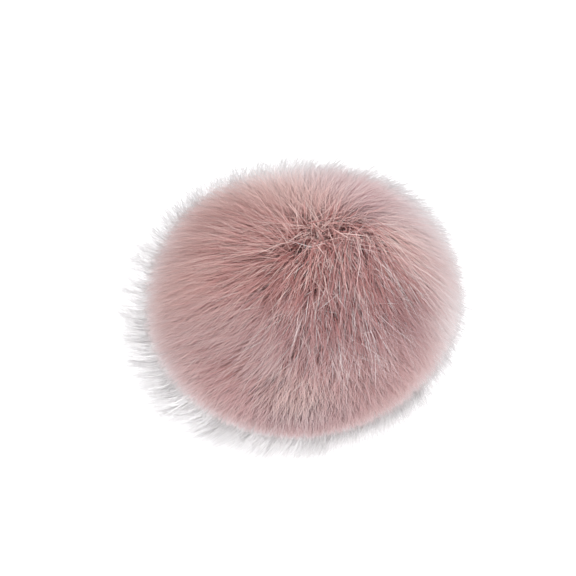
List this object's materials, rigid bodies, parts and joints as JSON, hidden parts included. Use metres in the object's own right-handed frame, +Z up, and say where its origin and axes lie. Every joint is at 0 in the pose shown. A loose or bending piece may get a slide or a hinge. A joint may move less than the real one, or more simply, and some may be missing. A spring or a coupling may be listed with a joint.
{
  "type": "fur pompom",
  "caption": "Round long-pile fur pompom with a parted crown, lying on a small flat spot, used as a trimming.",
  "frame": {"origin": "centre of the flat spot that the pompom rests on", "axes": "+Z up from the surface it rests on; the ball and its crown lean a little towards +X"},
  "size_m": [0.1335, 0.1206, 0.0823],
  "materials": {
    "fur": "dusty pink long pile, matt, with pale tips over darker mauve depths"
  },
  "bodies": {
    "root": {"fur_pile": "fur"}
  },
  "joints": []
}
